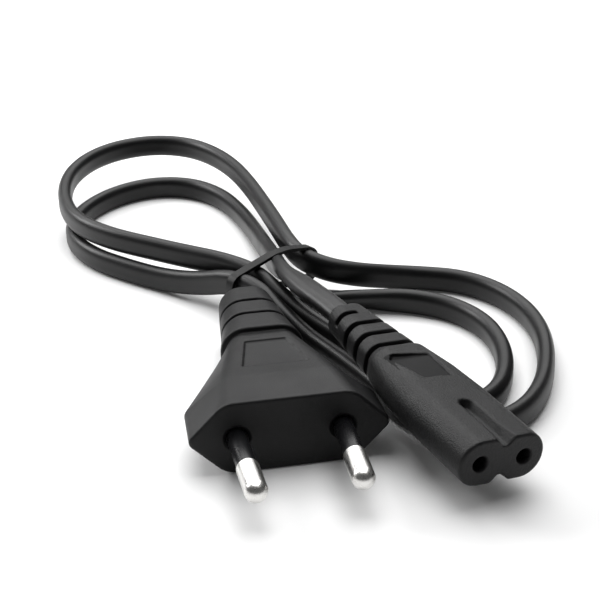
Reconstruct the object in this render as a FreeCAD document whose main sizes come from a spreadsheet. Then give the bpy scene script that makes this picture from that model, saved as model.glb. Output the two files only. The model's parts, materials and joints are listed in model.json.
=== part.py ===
"""A figure eight power lead: two-pin plug, flat twin cord in a tied hank, and figure eight connector."""
import FreeCAD, Part
import math
import os

import Sketcher
from FreeCAD import Placement, Rotation, Vector

doc = FreeCAD.newDocument("figure_eight_lead")
sheet = doc.addObject("Spreadsheet::Sheet", "sizes")
rows = 0


class Size:
    """A size that carries its number and the sheet formula that gives it."""

    def __init__(self, value, text):
        self.value = value
        self.text = text

    def join(self, other, sign, value):
        text = other.text if isinstance(other, Size) else str(other)
        return Size(value, "(" + self.text + " " + sign + " " + text + ")")

    def __add__(self, other):
        return self.join(other, "+", self.value + number(other))

    def __sub__(self, other):
        return self.join(other, "-", self.value - number(other))

    def __mul__(self, other):
        return self.join(other, "*", self.value * number(other))

    def __truediv__(self, other):
        return self.join(other, "/", self.value / number(other))


def number(size):
    return size.value if isinstance(size, Size) else float(size)


def cell(alias, value):
    """One driving dimension, in millimetres or degrees, on its own row of the sheet."""
    global rows
    rows += 1
    sheet.set("A" + str(rows), alias)
    sheet.set("B" + str(rows), str(value))
    sheet.setAlias("B" + str(rows), alias)
    return Size(value, "sizes." + alias)


# Plug: a hexagonal wedge that sinks towards its collar, then a round-cornered neck, about the pins' plane.
face_flat = cell("plug_face_flat_half_width", 11.4)
face_ridge = cell("plug_face_ridge_half_width", 18.2)
face_chamfer = cell("plug_face_chamfer", 0.4)
plug_height = cell("plug_height", 13.7)
ridge_depth = cell("plug_ridge_depth", 9.8)
ridge_flat = cell("plug_ridge_flat_half_width", 9.5)
corner_top = cell("plug_top_corner_radius", 4.6)
corner_side = cell("plug_side_corner_radius", 1.5)
wedge_flat = cell("plug_wedge_end_flat_half_width", 5.4)
wedge_half = cell("plug_wedge_end_half_width", 7.7)
wedge_sink = cell("plug_wedge_sink", 1.15)
wedge_corner_top = cell("plug_wedge_end_top_radius", 3.4)
wedge_corner_side = cell("plug_wedge_end_side_radius", 2.4)
collar_depth = cell("plug_collar_depth", 28.8)
collar_lap = cell("plug_collar_lap", 1.2)
collar_half = cell("plug_collar_half_width", 8.1)
collar_run = cell("plug_collar_run", 5.2)
neck_half = cell("plug_neck_half_width", 7.1)
neck_sink = cell("plug_neck_sink", 0.15)
neck_corner = cell("plug_neck_corner_radius", 4.9)
neck_length = cell("plug_neck_length", 16.0)
neck_end_half = cell("plug_neck_end_half_width", 5.5)
neck_end_sink = cell("plug_neck_end_sink", 1.05)
neck_nose = cell("plug_neck_end_rounding", 0.9)
panel_front = cell("plug_panel_front_half_width", 6.0)
panel_back = cell("plug_panel_back_half_width", 3.9)
panel_start = cell("plug_panel_start", 13.8)
panel_length = cell("plug_panel_length", 11.3)
panel_depth = cell("plug_panel_depth", 0.45)
groove_width = cell("relief_groove_width", 1.0)
groove_depth = cell("relief_groove_depth", 1.2)
plug_groove_first = cell("plug_groove_first", 35.6)
plug_groove_pitch = cell("plug_groove_pitch", 6.8)
plug_groove_count = 2
well_diameter = cell("pin_well_diameter", 4.7)
well_depth = cell("pin_well_depth", 0.4)

# Pins: bright tips on a thinner shank, with an insulating sleeve that is a little thinner than the tip.
pin_spacing = cell("pin_spacing_at_face", 18.6)
pin_lean = cell("pin_lean_angle", 1.66)
pin_diameter = cell("pin_diameter", 4.0)
pin_length = cell("pin_length", 19.0)
tip_length = cell("pin_tip_length", 9.0)
tip_rounding = cell("pin_tip_rounding", 1.98)
sleeve_diameter = cell("pin_sleeve_diameter", 3.6)
shank_diameter = cell("pin_shank_diameter", 3.0)
flange_diameter = cell("sleeve_flange_diameter", 5.6)
flange_depth = cell("sleeve_flange_depth", 1.0)
flange_length = cell("sleeve_flange_length", 2.0)
carrier_length = cell("pin_carrier_length", 5.0)
carrier_height = cell("pin_carrier_height", 6.4)
carrier_margin = cell("pin_carrier_margin", 3.2)
barrel_diameter = cell("pin_barrel_diameter", 3.6)
barrel_length = cell("pin_barrel_length", 6.0)
copper_diameter = cell("conductor_diameter", 1.6)
copper_seat = cell("conductor_seat_depth", 4.5)
copper_bare = cell("conductor_bare_length", 3.0)
core_diameter = cell("core_diameter", 2.0)
core_space = cell("space_between_cores", 0.1)

# Cord: flat twin cable, whose two cores lie side by side; its plain solid is a tube of the same section area.
cord_diameter = cell("cord_tube_diameter", 4.2)
plug_cord_end = cell("cord_end_depth_in_plug", 46.0)

# Connector: a figure eight nose with a slot along its middle above and below, a grip and a ribbed relief.
lobe_spacing = cell("socket_spacing", 8.6)
lobe_reach = cell("nose_side_reach", 4.0)
nose_half_height = cell("nose_half_height", 4.25)
nose_corner = cell("nose_corner_radius", 4.05)
nose_chamfer = cell("nose_face_chamfer", 0.4)
grip_start = cell("connector_nose_length", 17.0)
grip_length = cell("connector_grip_length", 16.6)
grip_half = cell("connector_grip_end_half_width", 6.0)
grip_bulge = cell("connector_grip_bulge", 0.2)
relief_half = cell("connector_relief_half_width", 5.7)
relief_half_height = cell("connector_relief_half_height", 3.7)
relief_length = cell("connector_relief_length", 20.4)
relief_end_half = cell("connector_relief_end_half_width", 3.9)
relief_end_height = cell("connector_relief_end_half_height", 3.2)
slot_half = cell("nose_slot_half_width", 1.4)
slot_floor_half = cell("nose_slot_floor_half_width", 0.6)
slot_length = cell("nose_slot_length", 13.2)
slot_floor = cell("nose_slot_floor_height", 2.75)
notch_half = cell("nose_notch_half_width", 2.3)
notch_run = cell("nose_notch_run", 4.0)
recess_depth = cell("grip_recess_depth", 0.5)
connector_groove_first = cell("connector_groove_first", 35.0)
connector_groove_pitch = cell("connector_groove_pitch", 4.7)
connector_groove_count = 4
connector_groove_width = cell("connector_groove_width", 1.3)
face_wall = cell("connector_face_wall", 2.5)
mouth_diameter = cell("socket_mouth_diameter", 3.0)
mouth_depth = cell("socket_mouth_depth", 0.6)
insert_length = cell("insert_length", 13.5)
insert_half = cell("insert_half_width", 7.0)
insert_half_height = cell("insert_half_height", 2.15)
insert_corner = cell("insert_corner_radius", 2.0)
contact_bore = cell("socket_bore_diameter", 2.6)
contact_diameter = cell("contact_diameter", 3.8)
contact_length = cell("contact_length", 11.0)
contact_barrel = cell("contact_barrel_diameter", 3.2)
contact_barrel_length = cell("contact_barrel_length", 6.0)
contact_slit = cell("contact_slit_width", 0.4)
contact_ring = cell("contact_unslit_length", 2.0)
connector_cord_end = cell("cord_end_depth_in_connector", 46.0)
connector_rise = cell("connector_face_centre_height", 8.25)
connector_yaw = cell("connector_yaw_angle", 16.0)
connector_pitch = cell("connector_pitch_angle", 4.0)
connector_roll = cell("connector_roll_angle", -6.5)

# Twist tie: a flat tape with a wire in it, closed round the four strands at the waist of the hank.
tie_width = cell("tie_width", 2.2)
tie_thickness = cell("tie_thickness", 0.7)
tie_rise = cell("tie_centre_height", 8.75)
tie_turn = cell("tie_turn_angle", 28.6)
tie_wire = cell("tie_wire_diameter", 0.4)
doc.recompute()

# How far a cutting tool reaches past the surface that it cuts.
SPARE = 1.0
TOOL_REACH = 30.0

# The part's origin lies on the floor below the middle of the plug and the connector.
PLUG_PLACE = Vector(-10.89, -14.73, 0)
CONNECTOR_PLACE = Vector(20.61, -33.93, 0)
TIE_PLACE = Vector(-2.89, 51.47, 0)

# Centre line of the cord, from inside the plug to inside the connector, chosen by hand, in the plug's frame.
CORD_ROUTE = [
    (0, 46, 6.85), (0, 51.8, 6.85), (0.6, 57.0, 4.1), (3.4, 62.0, 2.4), (9.0, 64.4, 2.2), (15.6, 64.0, 2.2), (22, 61.6, 2.7),
    (29, 59.0, 2.7), (37.4, 56.0, 2.7), (44.2, 50.2, 2.7), (48.2, 40.6, 2.7), (48.0, 29.6, 2.7),
    (45.2, 19.4, 2.7), (40.8, 11.6, 2.7), (34.4, 7.6, 2.7), (28.2, 9.8, 2.7), (25.0, 16.4, 2.7),
    (23.2, 25.4, 2.7), (20.4, 35.0, 2.7), (16.4, 43.8, 2.9), (11.8, 51.4, 4.0), (8.2, 58.6, 6.1),
    (4.6, 65.4, 8.2), (-1.2, 72.8, 8.4), (-8.6, 79.6, 8.2), (-16, 86.4, 8.2), (-24.2, 94.2, 8.2),
    (-30.6, 103.8, 8.2), (-33.4, 115, 8.2), (-33.6, 127, 8.6), (-31.2, 138.6, 9.0), (-25.6, 148.4, 9.4),
    (-17.6, 155.2, 9.4), (-8.2, 157.0, 9.4), (0.4, 152.8, 9.4), (6.2, 143.6, 9.4), (9.8, 131.6, 9.4),
    (11.6, 118.4, 9.4), (12.6, 105, 9.4), (13.4, 92, 9.4), (14.0, 80, 9.2), (15.2, 71.4, 8.8),
    (20.0, 66.4, 7.6), (27.0, 65.8, 5.8), (34.6, 67.6, 3.8), (42.2, 67.6, 2.7), (50.0, 63.8, 2.7),
    (55.8, 55.6, 2.7), (58.4, 44.6, 2.7), (57.6, 33, 2.7), (54.4, 22, 2.7), (49.8, 12, 2.7),
    (43.6, 4.2, 2.7), (36.0, 0.2, 2.7), (28.2, 1.6, 2.7), (22.8, 8.0, 2.7), (20.4, 16.6, 2.7),
    (18.0, 25.0, 2.7), (14.8, 34, 2.7), (11.2, 42.4, 3.0), (7.4, 50.6, 5.2), (3.8, 58.2, 7.8),
    (-1.0, 64.8, 7.7), (-6.4, 72.0, 4.6), (-13.4, 79.8, 2.7), (-21.4, 88, 2.7), (-28.6, 97, 2.7),
    (-32.6, 107.6, 2.7), (-32.4, 119, 2.7), (-27.8, 129.6, 2.7), (-20.2, 138.0, 2.7), (-10.4, 142.2, 2.7),
    (-0.6, 139.2, 2.7), (6.0, 129.2, 2.7), (9.0, 115.6, 2.8), (10.2, 101.6, 3.4), (10.2, 88.4, 5.2),
    (9.8, 76.6, 7.6), (9.5, 66.0, 9.6), (10.4, 55.8, 11.5), (12.4, 46.6, 12.1),
]


def bind(thing, prop, size):
    thing.setExpression(prop, size.text)


def feature(label, shape):
    """A sub-part whose shape is made by code from the sheet's sizes."""
    thing = doc.addObject("Part::Feature", label)
    thing.Label = label
    thing.Shape = shape
    return thing


def origin_plane(body, role):
    return [item for item in body.Origin.OriginFeatures if item.Role == role][0]


def revolved(name, corners, round_corner=None):
    """A turned piece: its corners are (radius, distance along the axis), and the axis is the body's Y axis."""
    body = doc.addObject("PartDesign::Body", name)
    sketch = body.newObject("Sketcher::SketchObject", name + "_profile")
    sketch.AttachmentSupport = (origin_plane(body, "XY_Plane"), [""])
    sketch.MapMode = "FlatFace"
    points = [Vector(number(radius), number(along), 0) for radius, along in corners]
    for start, end in zip(points, points[1:] + points[:1]):
        sketch.addGeometry(Part.LineSegment(start, end))
    for index, (radius, along) in enumerate(corners):
        sketch.addConstraint(Sketcher.Constraint("Coincident", index - 1 if index else len(corners) - 1, 2, index, 1))
        hold(sketch, "DistanceX", index, radius)
        hold(sketch, "DistanceY", index, along)
    turn = body.newObject("PartDesign::Revolution", name + "_turn")
    turn.Profile = sketch
    turn.ReferenceAxis = (sketch, ["V_Axis"])
    turn.Angle = 360
    doc.recompute()
    if round_corner:
        edges = round_edges(turn.Shape, number(round_corner[1]))
        soft = body.newObject("PartDesign::Fillet", name + "_rounding")
        soft.Base = (turn, edges)
        bind(soft, "Radius", round_corner[0])
        doc.recompute()
    return body


def hold(sketch, kind, index, size):
    """Ties one coordinate of a corner to its size, or to the axis where the size is nothing."""
    if number(size) == 0:
        sketch.addConstraint(Sketcher.Constraint("PointOnObject", index, 1, -2 if kind == "DistanceX" else -1))
        return
    place = sketch.addConstraint(Sketcher.Constraint(kind, -1, 1, index, 1, number(size)))
    if isinstance(size, Size):
        sketch.setExpression("Constraints[" + str(place) + "]", size.text)


def round_edges(shape, along):
    """The names of the circular edges that lie at one distance along the Y axis."""
    names = []
    for index, edge in enumerate(shape.Edges):
        box = edge.BoundBox
        if abs(box.YMin - along) < 1e-6 and abs(box.YMax - along) < 1e-6:
            names.append("Edge" + str(index + 1))
    return names


def tube_path(points):
    """Straight runs joined by tangent arcs, each as large as its two runs allow."""
    points = [Vector(*point) for point in points]
    edges = []
    radii = []
    here = points[0]
    for before, corner, after in zip(points, points[1:], points[2:]):
        back = before - corner
        on = after - corner
        cut = 0.45 * min(back.Length, on.Length)
        half_turn = (math.pi - back.getAngle(on)) / 2
        radii.append(cut / math.tan(half_turn))
        back.normalize()
        on.normalize()
        inward = back + on
        inward.normalize()
        centre_distance = math.hypot(cut, radii[-1])
        start = corner + back * cut
        end = corner + on * cut
        middle = corner + inward * (centre_distance - radii[-1])
        edges.append(Part.LineSegment(here, start).toShape())
        edges.append(Part.Arc(start, middle, end).toShape())
        here = end
    edges.append(Part.LineSegment(here, points[-1]).toShape())
    return Part.Wire(edges), radii


def round_face(diameter, edge):
    """A disc across the start of an edge."""
    start = edge.valueAt(edge.FirstParameter)
    return Part.Face(Part.Wire(Part.makeCircle(diameter / 2, start, edge.tangentAt(edge.FirstParameter))))


def tube(points, diameter):
    path, radii = tube_path(points)
    first = path.Edges[0]
    disc = round_face(diameter, first)
    return path.makePipe(disc), path.Length, radii


def rounded_outline(corners, along):
    """A closed outline across the Y axis; each corner is (x, z, radius) and its arc is tangent to both sides."""
    points = [Vector(x, along, z) for x, z, radius in corners]
    edges = []
    count = len(corners)
    ends = []
    for index in range(count):
        corner = points[index]
        back = points[index - 1] - corner
        on = points[(index + 1) % count] - corner
        half = back.getAngle(on) / 2
        radius = corners[index][2]
        cut = radius / math.tan(half)
        back.normalize()
        on.normalize()
        inward = back + on
        inward.normalize()
        middle = corner + inward * (radius / math.sin(half) - radius)
        ends.append((corner + back * cut, middle, corner + on * cut))
    for index in range(count):
        start, middle, end = ends[index]
        edges.append(Part.Arc(start, middle, end).toShape())
        edges.append(Part.LineSegment(end, ends[(index + 1) % count][0]).toShape())
    return Part.Wire(edges)


def hexagon(flat, ridge, half_height, top_radius, side_radius):
    """Corners of the plug's six-sided outline, with the pins' plane at height nothing."""
    return [(flat, half_height, top_radius), (ridge, 0, side_radius), (flat, -half_height, top_radius),
            (-flat, -half_height, top_radius), (-ridge, 0, side_radius), (-flat, half_height, top_radius)]


def oblong(half_width, half_height, radius):
    return [(half_width, half_height, radius), (half_width, -half_height, radius),
            (-half_width, -half_height, radius), (-half_width, half_height, radius)]


def lofted(name, outlines):
    """A solid through the outlines, each of them an object of the document."""
    sections = []
    for index, outline in enumerate(outlines):
        sections.append(feature(name + "_section_" + str(index + 1), outline))
    loft = doc.addObject("Part::Loft", name)
    loft.Sections = sections
    loft.Solid = True
    loft.Ruled = True
    return loft


def slab_ring(name, core, along, thickness, corner=None):
    """A groove tool: a slab across the Y axis, with the outline that stays cut out of it.

    A full ring, or with a corner (x, z) only the part of it that lies left of x and above z.
    """
    right, low = corner or (TOOL_REACH, -TOOL_REACH)
    slab = doc.addObject("Part::Box", name + "_slab")
    slab.Length = right + TOOL_REACH
    slab.Height = TOOL_REACH - low
    slab.Placement = Placement(Vector(-TOOL_REACH, along, low), Rotation())
    bind(slab, "Width", thickness)
    post = doc.addObject("Part::Extrusion", name + "_core")
    post.Base = feature(name + "_outline", core)
    post.Dir = Vector(0, 1, 0)
    bind(post, "LengthFwd", thickness)
    post.Solid = True
    return joined("Part::Cut", name, slab, post)


def joined(kind, name, base, tool):
    result = doc.addObject(kind, name)
    result.Base = base
    result.Tool = tool
    return result


def gathered(name, things):
    group = doc.addObject("Part::Compound", name)
    group.Links = things
    return group


# Plug pieces, in the plug's frame: X across, Y from the face to the cord, Z up from the pins' plane.
def make_pin(name):
    back = pin_length + flange_depth + flange_length + carrier_length
    pin = revolved(name + "_turned", [
        (0, 0), (pin_diameter / 2, 0), (pin_diameter / 2, tip_length), (shank_diameter / 2, tip_length),
        (shank_diameter / 2, back), (barrel_diameter / 2, back), (barrel_diameter / 2, back + barrel_length),
        (copper_diameter / 2, back + barrel_length), (copper_diameter / 2, back + barrel_length - copper_seat),
        (0, back + barrel_length - copper_seat)], (tip_rounding, 0))
    return pin


def pin_frame(side):
    """Places a turned piece whose Y axis starts at the pin's tip; the pins lean towards each other."""
    lean = Rotation(Vector(0, 0, 1), -side * pin_lean.value)
    face_point = Vector(side * pin_spacing.value / 2, 0, 0)
    return Placement(face_point - lean.multVec(Vector(0, pin_length.value, 0)), lean)


def make_sleeve(name):
    face = pin_length
    return revolved(name + "_turned", [
        (shank_diameter / 2, tip_length), (sleeve_diameter / 2, tip_length), (sleeve_diameter / 2, face + flange_depth),
        (flange_diameter / 2, face + flange_depth), (flange_diameter / 2, face + flange_depth + flange_length),
        (shank_diameter / 2, face + flange_depth + flange_length)])


def copper_span():
    start = pin_length + flange_depth + flange_length + carrier_length + barrel_length - copper_seat
    return start, copper_seat + copper_bare


def make_rod(name, start, length, diameter):
    return revolved(name, [(0, start), (diameter / 2, start), (diameter / 2, start + length), (0, start + length)])


def settle(label, thing, place):
    """A named sub-part: a copy of the finished piece at its place in the part's frame."""
    node = feature(label, thing.Shape.copy())
    node.Placement = place.multiply(node.Placement)
    return node


PIN_PLANE = plug_height.value / 2
plug_place = Placement(PLUG_PLACE + Vector(0, 0, PIN_PLANE), Rotation())
yaw = Rotation(Vector(0, 0, 1), connector_yaw.value)
pitch = Rotation(Vector(1, 0, 0), connector_pitch.value)
roll = Rotation(Vector(0, 1, 0), -connector_roll.value)
connector_place = Placement(CONNECTOR_PLACE + Vector(0, 0, connector_rise.value), yaw.multiply(pitch).multiply(roll))

nodes = []
plug_inner = []
for side, name, colour in ((-1, "left", "blue"), (1, "right", "brown")):
    frame = pin_frame(side)
    pin = make_pin("plug_pin_" + name)
    sleeve = make_sleeve("pin_sleeve_" + name)
    copper_start, copper_length = copper_span()
    copper = make_rod("plug_conductor_" + colour + "_rod", copper_start, copper_length, copper_diameter)
    for piece, label in ((pin, "plug_pin_" + name), (sleeve, "pin_sleeve_" + name), (copper, "plug_conductor_" + colour)):
        piece.Placement = frame
        doc.recompute()
        plug_inner.append(settle(label, piece, Placement()))
    entry = frame.multVec(Vector(0, number(copper_start + copper_length), 0))
    run = frame.Rotation.multVec(Vector(0, 1, 0))
    core_half = number(core_diameter + core_space) / 2 * side
    end = plug_cord_end.value
    bend = entry + run * 4.0
    core_shape, core_run, core_radii = tube([tuple(entry), tuple(bend), (core_half, end - 9.0, 0), (core_half, end, 0)],
                                            core_diameter.value)
    plug_inner.append(feature("plug_core_" + colour, core_shape))

carrier_box = doc.addObject("Part::Box", "carrier_bar")
carrier_start = flange_depth + flange_length
bind(carrier_box, "Length", pin_spacing + carrier_margin * 2)
bind(carrier_box, "Width", carrier_length)
bind(carrier_box, "Height", carrier_height)
carrier_box.Placement = Placement(
    Vector(-number(pin_spacing + carrier_margin * 2) / 2, number(carrier_start), -carrier_height.value / 2), Rotation())
carrier_cut = joined("Part::Cut", "carrier_cut", carrier_box,
                     gathered("pins_in_carrier", [piece for piece in plug_inner if "pin" in piece.Label]))
doc.recompute()
plug_inner.append(settle("plug_pin_carrier", carrier_cut, Placement()))

half = plug_height.value / 2
chamfer = face_chamfer.value
wedge_stations = [
    (0.0, face_flat.value - 0.6 * chamfer, face_ridge.value - 1.25 * chamfer, half - chamfer, corner_top.value, corner_side.value),
    (chamfer, face_flat.value, face_ridge.value, half, corner_top.value, corner_side.value),
    (ridge_depth.value, ridge_flat.value, face_ridge.value, half, corner_top.value, corner_side.value),
    (number(collar_depth + collar_lap), wedge_flat.value, wedge_half.value, half - wedge_sink.value,
     wedge_corner_top.value, wedge_corner_side.value),
]
wedge = lofted("plug_wedge", [
    rounded_outline(hexagon(flat, ridge, high, top, edge), along) for along, flat, ridge, high, top, edge in wedge_stations])
neck_end = number(collar_depth + collar_run + neck_length)
neck_low = half - neck_end_sink.value
nose = neck_nose.value
neck_stations = [
    (collar_depth.value, collar_half.value, half, neck_corner.value),
    (number(collar_depth + collar_run), neck_half.value, half - neck_sink.value, neck_corner.value),
    (neck_end, neck_end_half.value, neck_low, neck_corner.value - 0.5),
    (neck_end + nose, neck_end_half.value - nose, neck_low - nose, neck_corner.value - 1.2),
]
neck = lofted("plug_neck", [
    rounded_outline(oblong(wide, high, radius), along) for along, wide, high, radius in neck_stations])
plug_block = joined("Part::Fuse", "plug_block", wedge, neck)


def section_at(stations, along):
    """The sizes of a lofted body's outline at one depth, between its two nearest stations."""
    for before, after in zip(stations, stations[1:]):
        if before[0] <= along <= after[0]:
            share = (along - before[0]) / (after[0] - before[0])
            return [low + (high - low) * share for low, high in zip(before[1:], after[1:])]
    return list(stations[-1][1:])


plug_tools = []
for index in range(plug_groove_count):
    along = number(plug_groove_first + plug_groove_pitch * index)
    wide, high, radius = section_at(neck_stations, along)
    depth = groove_depth.value
    core = rounded_outline(oblong(wide - depth, high - depth, radius - depth * 0.7), along)
    plug_tools.append(slab_ring("plug_groove_" + str(index + 1), core, along, groove_width))
for side in (-1, 1):
    well = doc.addObject("Part::Cylinder", "pin_well")
    bind(well, "Radius", well_diameter / 2)
    bind(well, "Height", well_depth + SPARE)
    into_plug = Placement(Vector(0, pin_length.value - SPARE, 0), Rotation(Vector(1, 0, 0), -90))
    well.Placement = pin_frame(side).multiply(into_plug)
    plug_tools.append(well)


def wedge_top(along):
    """Height of the wedge's sloping top above the pins' plane."""
    share = (along - ridge_depth.value) / number(collar_depth + collar_lap - ridge_depth)
    return half - wedge_sink.value * share


panel_end = number(panel_start + panel_length)
panel_front_height = wedge_top(panel_start.value) + SPARE
panel_back_height = wedge_top(panel_end) + SPARE
panel_outline = Part.makePolygon([
    Vector(-panel_front.value, panel_start.value, panel_front_height),
    Vector(panel_front.value, panel_start.value, panel_front_height),
    Vector(panel_back.value, panel_end, panel_back_height),
    Vector(-panel_back.value, panel_end, panel_back_height),
    Vector(-panel_front.value, panel_start.value, panel_front_height)])
panel = doc.addObject("Part::Extrusion", "plug_panel")
panel.Base = feature("plug_panel_outline", panel_outline)
panel.Dir = Vector(0, 0, -1)
bind(panel, "LengthFwd", panel_depth + SPARE)
panel.Solid = True
plug_tools.append(panel)
doc.recompute()

# Cord, in the part's frame. Its last run follows the connector's axis.
relief_end = grip_start + grip_length + relief_length
back_in_air = connector_place.multVec(Vector(0, number(relief_end) + 3.6, 0))
back_in_relief = connector_place.multVec(Vector(0, connector_cord_end.value, 0))
route = [tuple(Vector(*point) + PLUG_PLACE) for point in CORD_ROUTE]
route += [tuple(back_in_air), tuple(back_in_relief)]
cord_shape, cord_length, cord_radii = tube(route, cord_diameter.value)
cord = feature("cord", cord_shape)
print("cord length", round(cord_length, 1), "radii", [round(radius, 1) for radius in cord_radii])
section_area = math.pi * cord_diameter.value ** 2 / 4
print("cord volume", round(cord_shape.Volume, 1), "section times length", round(section_area * cord_length, 1))

cord_in_plug = feature("cord_in_plug", cord_shape.copy())
cord_in_plug.Placement = plug_place.inverse()
plug_solid = joined("Part::Cut", "plug_shell", joined("Part::Cut", "plug_grooved", plug_block,
                    gathered("plug_cuts", plug_tools)), gathered("plug_contents", plug_inner + [cord_in_plug]))
doc.recompute()
nodes.append(settle("plug_overmould", plug_solid, plug_place))
for piece in plug_inner:
    piece.Placement = plug_place.multiply(piece.Placement)
    nodes.append(piece)
nodes.append(cord)

# Connector pieces, in the connector's frame: X across, Y from the face to the cord, Z up.
connector_inner = []
half_spacing = lobe_spacing / 2
for side, name, colour in ((-1, "left", "blue"), (1, "right", "brown")):
    barrel_start = face_wall + contact_length
    contact = revolved("connector_contact_" + name + "_turned", [
        (contact_bore / 2, face_wall), (contact_diameter / 2, face_wall), (contact_diameter / 2, barrel_start),
        (contact_barrel / 2, barrel_start), (contact_barrel / 2, barrel_start + contact_barrel_length),
        (copper_diameter / 2, barrel_start + contact_barrel_length),
        (copper_diameter / 2, barrel_start + contact_barrel_length - copper_seat),
        (0, barrel_start + contact_barrel_length - copper_seat), (0, barrel_start), (contact_bore / 2, barrel_start)])
    slit = doc.addObject("Part::Box", "contact_slit_" + name)
    bind(slit, "Length", contact_slit)
    bind(slit, "Width", contact_length - contact_ring)
    bind(slit, "Height", contact_diameter)
    slit.Placement = Placement(Vector(-contact_slit.value / 2, face_wall.value, -contact_diameter.value / 2), Rotation())
    split_contact = joined("Part::Cut", "contact_split_" + name, contact, slit)
    copper = make_rod("connector_conductor_" + colour + "_rod",
                      barrel_start + contact_barrel_length - copper_seat, copper_seat + copper_bare, copper_diameter)
    doc.recompute()
    place = Placement(Vector(side * half_spacing.value, 0, 0), Rotation())
    connector_inner.append(settle("connector_contact_" + name, split_contact, place))
    connector_inner.append(settle("connector_conductor_" + colour, copper, place))
    start = number(barrel_start + contact_barrel_length + copper_bare)
    core_half = number(core_diameter + core_space) / 2 * side
    end = connector_cord_end.value
    core_shape, core_run, core_radii = tube([
        (side * half_spacing.value, start, 0), (side * half_spacing.value, start + 4.5, 0),
        (core_half, end - 6.0, 0), (core_half, end, 0)], core_diameter.value)
    connector_inner.append(feature("connector_core_" + colour, core_shape))

insert_outline = rounded_outline(oblong(insert_half.value, insert_half_height.value, insert_corner.value),
                                 face_wall.value)
insert_block = doc.addObject("Part::Extrusion", "insert_block")
insert_block.Base = feature("insert_outline", insert_outline)
insert_block.Dir = Vector(0, 1, 0)
bind(insert_block, "LengthFwd", insert_length)
insert_block.Solid = True
bores = []
for side in (-1, 1):
    bore = doc.addObject("Part::Cylinder", "insert_bore")
    bind(bore, "Radius", contact_diameter / 2)
    bind(bore, "Height", contact_length)
    bore.Placement = Placement(Vector(side * half_spacing.value, face_wall.value, 0), Rotation(Vector(1, 0, 0), -90))
    bores.append(bore)
    rear = doc.addObject("Part::Cylinder", "insert_rear_bore")
    bind(rear, "Radius", contact_barrel / 2)
    bind(rear, "Height", insert_length + face_wall)
    rear.Placement = Placement(Vector(side * half_spacing.value, face_wall.value, 0), Rotation(Vector(1, 0, 0), -90))
    bores.append(rear)
insert_cut = joined("Part::Cut", "insert_cut", insert_block, gathered("insert_bores", bores))
doc.recompute()
connector_inner.append(settle("connector_insert", insert_cut, Placement()))

nose_half = number(half_spacing + lobe_reach)
nose_high = nose_half_height.value
corner = nose_corner.value
edge = nose_chamfer.value
connector_stations = [
    (0.0, nose_half - edge, nose_high - edge, corner - edge),
    (edge, nose_half, nose_high, corner),
    (grip_start.value, nose_half - 0.1, nose_high + grip_bulge.value / 2, corner),
    (number(grip_start + grip_length / 2), (nose_half + grip_half.value) / 2 + 0.4, nose_high + grip_bulge.value, corner),
    (number(grip_start + grip_length), grip_half.value, nose_high, 3.4),
    (number(grip_start + grip_length) + 1.0, relief_half.value, relief_half_height.value, 3.0),
    (number(relief_end) - 1.6, relief_end_half.value, relief_end_height.value, 2.6),
    (number(relief_end), relief_end_half.value - 0.9, relief_end_height.value - 0.5, 2.2),
]
connector_block = lofted("connector_block", [
    rounded_outline(oblong(wide, high, radius), along) for along, wide, high, radius in connector_stations])
connector_tools = []
for index in range(connector_groove_count):
    along = number(connector_groove_first + connector_groove_pitch * index)
    wide, high, radius = section_at(connector_stations, along)
    depth = groove_depth.value
    core = rounded_outline(oblong(wide - depth, high - depth, radius - depth * 0.75), along)
    last = index == connector_groove_count - 1
    connector_tools.append(slab_ring("connector_groove_" + str(index + 1), core, along, connector_groove_width,
                                     (0.2, 0.5) if last else None))

for side in (-1, 1):
    into_nose = Placement(Vector(side * half_spacing.value, 0, 0), Rotation(Vector(1, 0, 0), -90))
    mouth = doc.addObject("Part::Cone", "socket_mouth")
    bind(mouth, "Radius1", mouth_diameter / 2)
    bind(mouth, "Radius2", contact_bore / 2)
    bind(mouth, "Height", mouth_depth)
    mouth.Placement = into_nose
    throat = doc.addObject("Part::Cylinder", "socket_throat")
    bind(throat, "Radius", contact_bore / 2)
    bind(throat, "Height", face_wall + contact_length)
    throat.Placement = into_nose
    connector_tools += [mouth, throat]


def trapezoid(along, top_half, floor_half, way):
    """Outline across a slot: its floor, and its open side above the nose's surface."""
    floor = slot_floor.value * way
    rim = (nose_high + SPARE) * way
    spread = (top_half - floor_half) * (nose_high + SPARE - slot_floor.value) / (nose_high - slot_floor.value)
    reach = floor_half + spread
    return Part.makePolygon([Vector(-floor_half, along, floor), Vector(floor_half, along, floor),
                             Vector(reach, along, rim), Vector(-reach, along, rim), Vector(-floor_half, along, floor)])


for way, place in ((1, "upper"), (-1, "lower")):
    trough = doc.addObject("Part::Extrusion", place + "_slot_trough")
    trough.Base = feature(place + "_slot_outline", trapezoid(-SPARE, slot_half.value, slot_floor_half.value, way))
    trough.Dir = Vector(0, 1, 0)
    bind(trough, "LengthFwd", slot_length - slot_half + SPARE)
    trough.Solid = True
    rounding = doc.addObject("Part::Cone", place + "_slot_end")
    bind(rounding, "Radius1", slot_floor_half)
    bind(rounding, "Radius2", slot_floor_half + (slot_half - slot_floor_half) * ((nose_half_height - slot_floor + SPARE)
                                                                                 / (nose_half_height - slot_floor)))
    bind(rounding, "Height", nose_half_height - slot_floor + SPARE)
    rounding.Placement = Placement(Vector(0, number(slot_length - slot_half), slot_floor.value * way),
                                   Rotation(Vector(1, 0, 0), 0 if way > 0 else 180))
    flare = (notch_half.value - slot_half.value) * SPARE / notch_run.value
    notch = lofted(place + "_notch", [
        trapezoid(-SPARE, notch_half.value + flare, slot_floor_half.value, way),
        trapezoid(notch_run.value, slot_half.value, slot_floor_half.value, way)])
    connector_tools += [trough, rounding, notch]
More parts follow.
